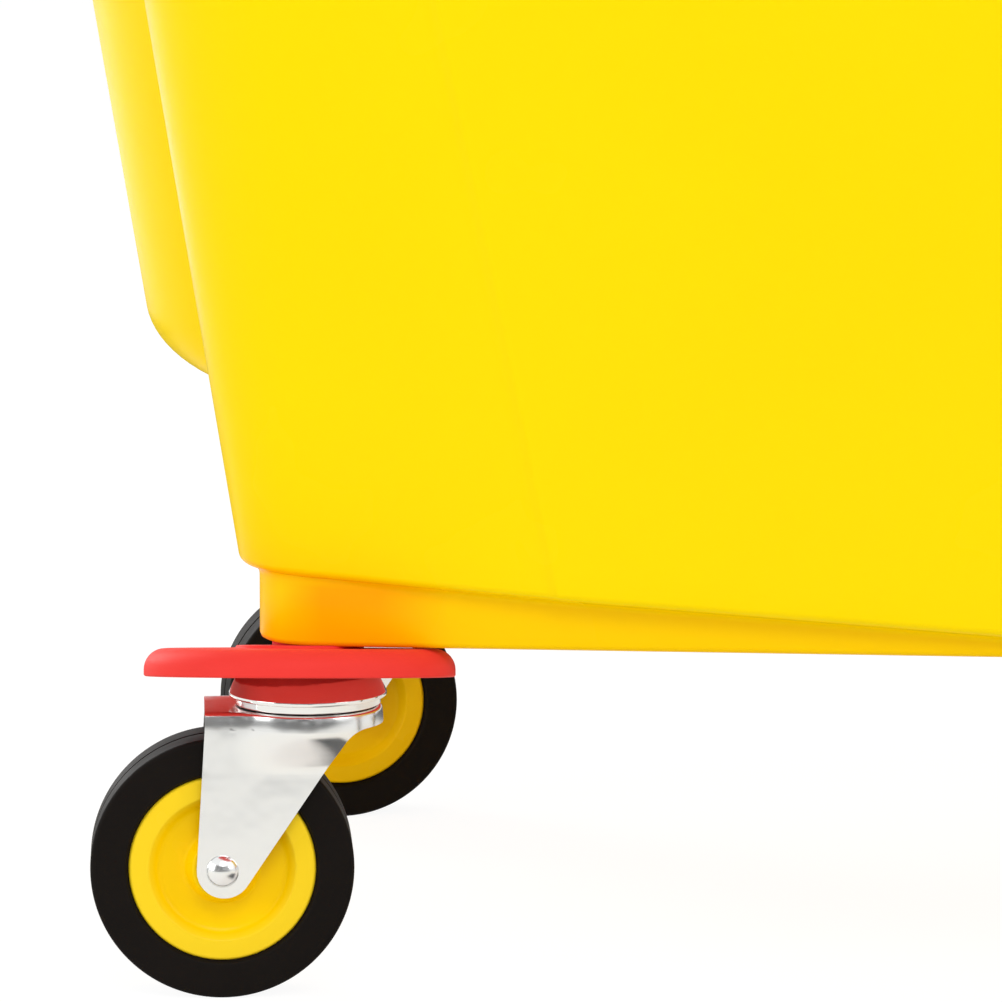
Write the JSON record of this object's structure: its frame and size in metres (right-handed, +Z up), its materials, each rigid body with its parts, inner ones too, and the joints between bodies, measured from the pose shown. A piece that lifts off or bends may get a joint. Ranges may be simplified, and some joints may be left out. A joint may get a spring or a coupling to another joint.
{
  "type": "mop bucket with wringer",
  "caption": "Moulded mop bucket with pouring spout, geared side-press wringer and long hand lever, on swivel casters with round corner bumpers.",
  "frame": {"origin": "on the floor under the middle of the overall length and width", "axes": "+Z up, +X towards the wringer end, -Y is the front long side that the lever stands on"},
  "size_m": [0.5882, 0.414, 0.8978],
  "materials": {
    "tub_plastic": "smooth moulded polypropylene, soft gloss",
    "wringer_plastic": "smooth moulded polypropylene",
    "plate_plastic": "moulded, perforated",
    "gear_plastic": "glass-filled nylon, dull",
    "bumper_plastic": "soft red moulding",
    "hub_plastic": "smooth moulded polypropylene",
    "tyre_rubber": "smooth black rubber",
    "bush_plastic": "natural acetal",
    "zinc_steel": "bright zinc plate",
    "ball_steel": "polished and greased",
    "sleeve_steel": "plain steel",
    "shaft_steel": "turned steel",
    "lever_steel": "plated tube",
    "lever_cast": "powder coat",
    "grip_rubber": "ribbed, matt"
  },
  "bodies": {
    "bucket": {"bucket_tub": "tub_plastic", "stem_sleeves": "sleeve_steel", "bumper_front_left": "bumper_plastic", "caster_stem_front_left": "zinc_steel", "swivel_race_front_left": "zinc_steel", "swivel_balls_front_left": "ball_steel", "bumper_rear_left": "bumper_plastic", "caster_stem_rear_left": "zinc_steel", "swivel_race_rear_left": "zinc_steel", "swivel_balls_rear_left": "ball_steel", "bumper_front_right": "bumper_plastic", "caster_stem_front_right": "zinc_steel", "swivel_race_front_right": "zinc_steel", "swivel_balls_front_right": "ball_steel", "bumper_rear_right": "bumper_plastic", "caster_stem_rear_right": "zinc_steel", "swivel_race_rear_right": "zinc_steel", "swivel_balls_rear_right": "ball_steel"},
    "wringer": {"wringer_housing": "wringer_plastic", "fixed_press_plate": "plate_plastic", "fixed_plate_screws": "zinc_steel", "plate_hinge_pin": "shaft_steel", "shaft_bushes": "bush_plastic"},
    "lever": {"lever_shaft": "shaft_steel", "lever_pinions": "gear_plastic", "shaft_end_collar": "zinc_steel", "lever_hub": "lever_cast", "lever_bolts": "zinc_steel", "lever_tube": "lever_steel", "lever_grip": "grip_rubber"},
    "press_plate": {"press_plate": "plate_plastic", "plate_quadrants": "gear_plastic"},
    "caster_front_left": {"caster_fork_front_left": "zinc_steel", "axle_bolt_front_left": "zinc_steel"},
    "wheel_front_left": {"wheel_hub_front_left": "hub_plastic", "tyre_front_left": "tyre_rubber", "axle_bush_front_left": "bush_plastic"},
    "caster_rear_left": {"caster_fork_rear_left": "zinc_steel", "axle_bolt_rear_left": "zinc_steel"},
    "wheel_rear_left": {"wheel_hub_rear_left": "hub_plastic", "tyre_rear_left": "tyre_rubber", "axle_bush_rear_left": "bush_plastic"},
    "caster_front_right": {"caster_fork_front_right": "zinc_steel", "axle_bolt_front_right": "zinc_steel"},
    "wheel_front_right": {"wheel_hub_front_right": "hub_plastic", "tyre_front_right": "tyre_rubber", "axle_bush_front_right": "bush_plastic"},
    "caster_rear_right": {"caster_fork_rear_right": "zinc_steel", "axle_bolt_rear_right": "zinc_steel"},
    "wheel_rear_right": {"wheel_hub_rear_right": "hub_plastic", "tyre_rear_right": "tyre_rubber", "axle_bush_rear_right": "bush_plastic"}
  },
  "joints": [
    {"name": "wringer_lift", "type": "slide", "parent": "bucket", "child": "wringer", "axis": [0, 0, 1], "range_m": [0, 0.25]},
    {"name": "lever_swing", "type": "hinge", "parent": "wringer", "child": "lever", "pos_m": [0.09375, 0, 0.424], "axis": [0, -1, 0], "range_deg": [0, 70]},
    {"name": "plate_swing", "type": "hinge", "parent": "wringer", "child": "press_plate", "pos_m": [0.18975, 0, 0.296], "axis": [0, 1, 0], "range_deg": [0, 25.4]},
    {"name": "swivel_front_left", "type": "hinge", "parent": "bucket", "child": "caster_front_left", "pos_m": [-0.18225, -0.138, 0.083], "axis": [0, 0, 1], "continuous": true},
    {"name": "roll_front_left", "type": "hinge", "parent": "caster_front_left", "child": "wheel_front_left", "pos_m": [-0.20659, -0.14155, 0.0375], "axis": [0.1444, -0.9895, 0], "continuous": true},
    {"name": "swivel_rear_left", "type": "hinge", "parent": "bucket", "child": "caster_rear_left", "pos_m": [-0.18225, 0.138, 0.083], "axis": [0, 0, 1], "continuous": true},
    {"name": "roll_rear_left", "type": "hinge", "parent": "caster_rear_left", "child": "wheel_rear_left", "pos_m": [-0.20606, 0.1318, 0.0375], "axis": [0.2521, -0.9677, 0], "continuous": true},
    {"name": "swivel_front_right", "type": "hinge", "parent": "bucket", "child": "caster_front_right", "pos_m": [0.21775, -0.138, 0.083], "axis": [0, 0, 1], "continuous": true},
    {"name": "roll_front_right", "type": "hinge", "parent": "caster_front_right", "child": "wheel_front_right", "pos_m": [0.19329, -0.13543, 0.0375], "axis": [-0.1045, -0.9945, 0], "continuous": true},
    {"name": "swivel_rear_right", "type": "hinge", "parent": "bucket", "child": "caster_rear_right", "pos_m": [0.21775, 0.138, 0.083], "axis": [0, 0, 1], "continuous": true},
    {"name": "roll_rear_right", "type": "hinge", "parent": "caster_rear_right", "child": "wheel_rear_right", "pos_m": [0.1936, 0.13331, 0.0375], "axis": [0.1908, -0.9816, 0], "continuous": true}
  ],
  "couplings": [
    {"joint": "plate_swing", "follows": "lever_swing", "ratio": 0.3617}
  ]
}
